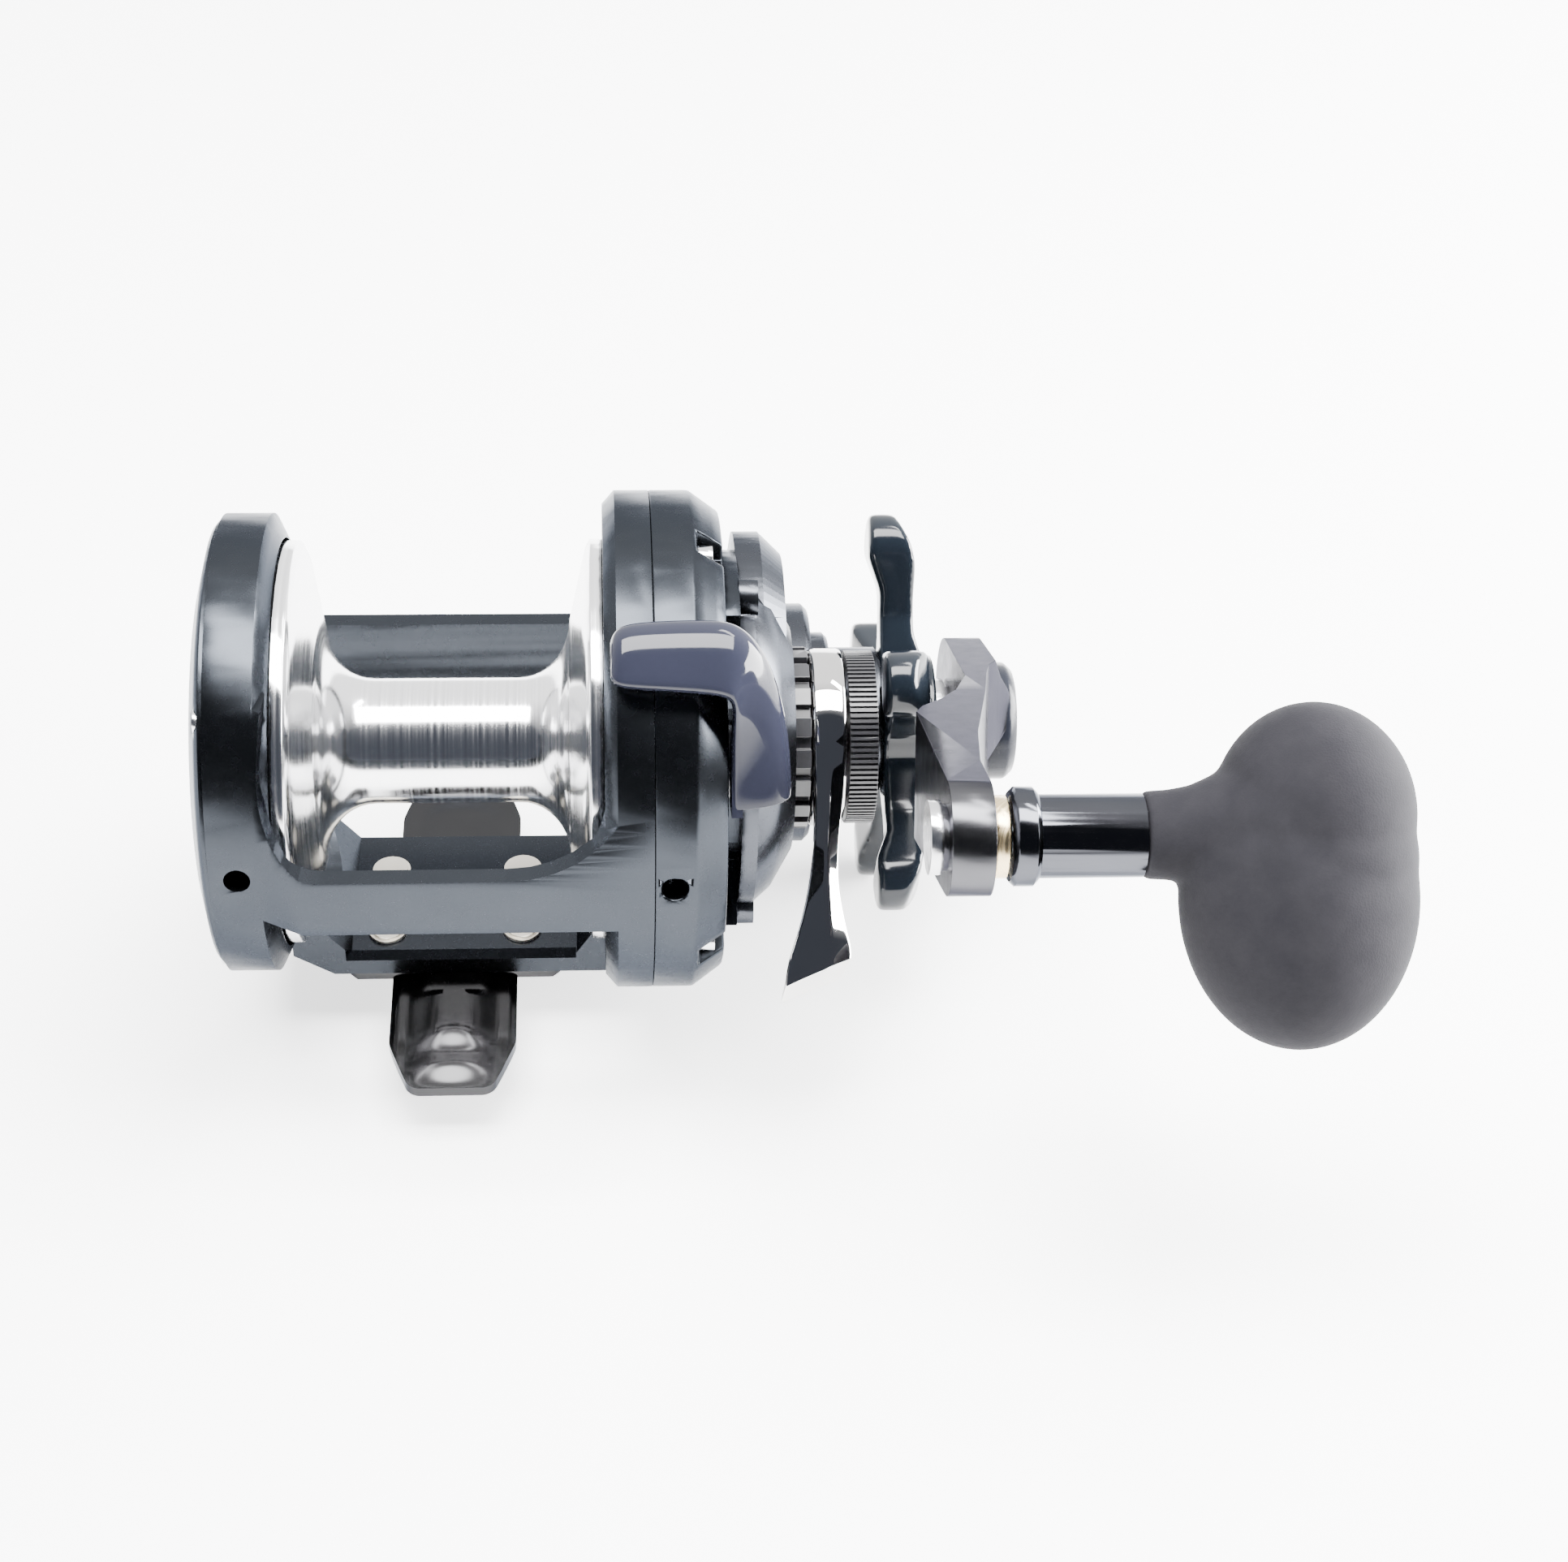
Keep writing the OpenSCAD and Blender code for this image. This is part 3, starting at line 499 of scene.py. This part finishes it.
def add_fall_lever():
    turn = radians(FALL_TURN)
    down_way = Vector((0, cos(turn), sin(turn)))
    away_way = Vector((0, -sin(turn), cos(turn)))

    def point(x, down, away):
        return Vector((x, 0, AXIS_H)) + down * down_way + away * away_way

    bm = bmesh.new()
    lathe(bm, [(5.5, 49.0), (5.7, 48.8), (11.5, 48.8), (11.9, 48.95), (12.1, 49.35), (12.1, 52.8), (11.9, 53.25),
               (11.5, 53.4), (5.7, 53.4), (5.5, 53.2)], 0, AXIS_H, 128)
    finish_piece("fall_lever_ring", bm, "chrome", "fall_brake", "fall_lever")
    # each section runs left edge, ridge, right edge, then the two back corners
    sections = [
        [(48.9, -5.0, -10.6), (51.0, -5.0, -10.8), (53.2, -5.0, -10.6), (53.2, -5.0, -6.5), (48.9, -5.0, -6.5)],
        [(48.9, -2.0, -11.9), (51.0, -2.0, -12.1), (53.2, -2.0, -11.9), (53.2, -2.0, -6.8), (48.9, -2.0, -6.8)],
        [(48.9, 5.0, -12.2), (51.0, 5.0, -12.4), (53.0, 5.0, -12.2), (53.0, 5.0, -7.2), (48.9, 5.0, -7.2)],
        [(49.0, 12.1, -12.0), (50.7, 12.1, -12.5), (52.4, 11.1, -12.0), (52.3, 11.8, -8.0), (49.1, 12.2, -8.0)],
        [(48.5, 16.5, -11.5), (50.4, 16.6, -12.5), (52.0, 16.5, -11.5), (51.8, 16.7, -8.3), (48.7, 16.7, -8.3)],
        [(47.9, 20.8, -11.2), (50.6, 20.9, -12.6), (52.2, 20.8, -11.2), (51.9, 21.0, -8.6), (48.2, 21.0, -8.6)],
        [(46.6, 26.2, -10.8), (50.7, 26.0, -12.6), (53.2, 25.7, -10.8), (52.8, 26.3, -8.9), (47.0, 26.4, -8.9)],
        [(45.0, 30.4, -10.5), (50.2, 29.0, -12.4), (53.9, 28.0, -10.5), (53.3, 29.8, -9.0), (45.3, 31.4, -9.0)],
        [(45.0, 33.2, -10.8), (50.0, 31.0, -12.3), (53.8, 29.6, -10.8), (52.5, 32.6, -9.0), (44.2, 35.9, -9.0)],
    ]
    bm = bmesh.new()
    rings = loft(bm, [[point(*corner) for corner in section] for section in sections], (0.75, 0.45, 0.75, 0.5, 0.5))
    layer = bm.edges.layers.float.get("crease_edge")
    for i in range(5):
        bm.edges.get((rings[-1][i], rings[-1][(i + 1) % 5]))[layer] = 0.85
    arm = finish_piece("fall_lever_arm", bm, "chrome", "fall_brake", "fall_lever")
    smooth_subdivision(arm, 4)


add_fall_lever()

# The foot: one pressed plate with a rounded channel raised along each leg

FOOT_HALF_L, FOOT_HALF_W, FOOT_TIP_W = 32.0, 8.7, 5.6
PLATE_LOW = AXIS_H - 33.3


def foot_half_width(y):
    """Half the width of a leg at a distance from the middle: straight, then tapering to a round-cornered tip."""
    from_tip = FOOT_HALF_L - abs(y)
    taper = max(0.0, min(1.0, (8.8 - from_tip) / 8.8))
    width = FOOT_HALF_W - (FOOT_HALF_W - FOOT_TIP_W) * taper ** 1.15
    corner = 1.4
    if from_tip < corner:
        width -= corner - (corner ** 2 - (corner - from_tip) ** 2) ** 0.5
    return width


def ease(value):
    value = max(0.0, min(1.0, value))
    return value * value * (3 - 2 * value)


def foot_height(x, y):
    """The top of a leg: an edge of plate thickness and a channel that steps down toward the tip."""
    reach = abs(y)
    ridge = max(0.0, 1 - (x / 6.6) ** 2) ** 1.5
    channel = ridge * (1.0 * ease((32.2 - reach) / 4.5) + 0.8 * ease((26.5 - reach) / 4.5))
    return 1.5 + 0.3 * ease((30 - reach) / 8) + channel - 0.5 * ease((abs(x) - 7.4) / 1.6)


def add_foot():
    bm = bmesh.new()
    across, along = 36, 150
    top, low = [], []
    for j in range(along + 1):
        # rows crowd toward the tips, where the outline turns
        y = -FOOT_HALF_L * cos(pi * j / along)
        half = foot_half_width(y)
        xs = [half * -cos(pi * i / across) for i in range(across + 1)]
        top.append([bm.verts.new((x, y, min(foot_height(x, y), 3.9 if abs(y) > 15 else PLATE_LOW - 0.02))) for x in xs])
        low.append([bm.verts.new((x, y, 0.0)) for x in xs])
    for j in range(along):
        for i in range(across):
            bm.faces.new((top[j][i], top[j][i + 1], top[j + 1][i + 1], top[j + 1][i]))
            bm.faces.new((low[j][i], low[j + 1][i], low[j + 1][i + 1], low[j][i + 1]))
        for i in (0, across):
            bm.faces.new((top[j][i], top[j + 1][i], low[j + 1][i], low[j][i]))
    for j in (0, along):
        for i in range(across):
            bm.faces.new((top[j][i], top[j][i + 1], low[j][i + 1], low[j][i]))
    # the broad middle under the frame's bottom plate
    plan = [(-14.7, -9.4), (-13.7, -10.4), (13.7, -10.4), (14.7, -9.4), (14.7, 9.4), (13.7, 10.4), (-13.7, 10.4),
            (-14.7, 9.4)]
    levels = [[bm.verts.new((x * shrink, y * shrink, z)) for x, y in plan]
              for z, shrink in ((1.0, 1.0), (PLATE_LOW - 0.3, 1.0), (PLATE_LOW, 0.985))]
    for near, far in zip(levels, levels[1:]):
        for i in range(len(plan)):
            k = (i + 1) % len(plan)
            bm.faces.new((near[i], near[k], far[k], far[i]))
    bm.faces.new(levels[0][::-1])
    bm.faces.new(levels[-1])
    # the foot's dark steel colour is painted shade for the frame's shadow falling on it
    foot = finish_piece("pressed_foot", bm, "foot_steel", "reel_frame", "foot")
    edge = foot.modifiers.new("edge", "BEVEL")
    edge.width = 0.55 * MM
    edge.segments = 4
    edge.limit_method = "ANGLE"
    edge.angle_limit = radians(50)
    edge.harden_normals = True


add_foot()
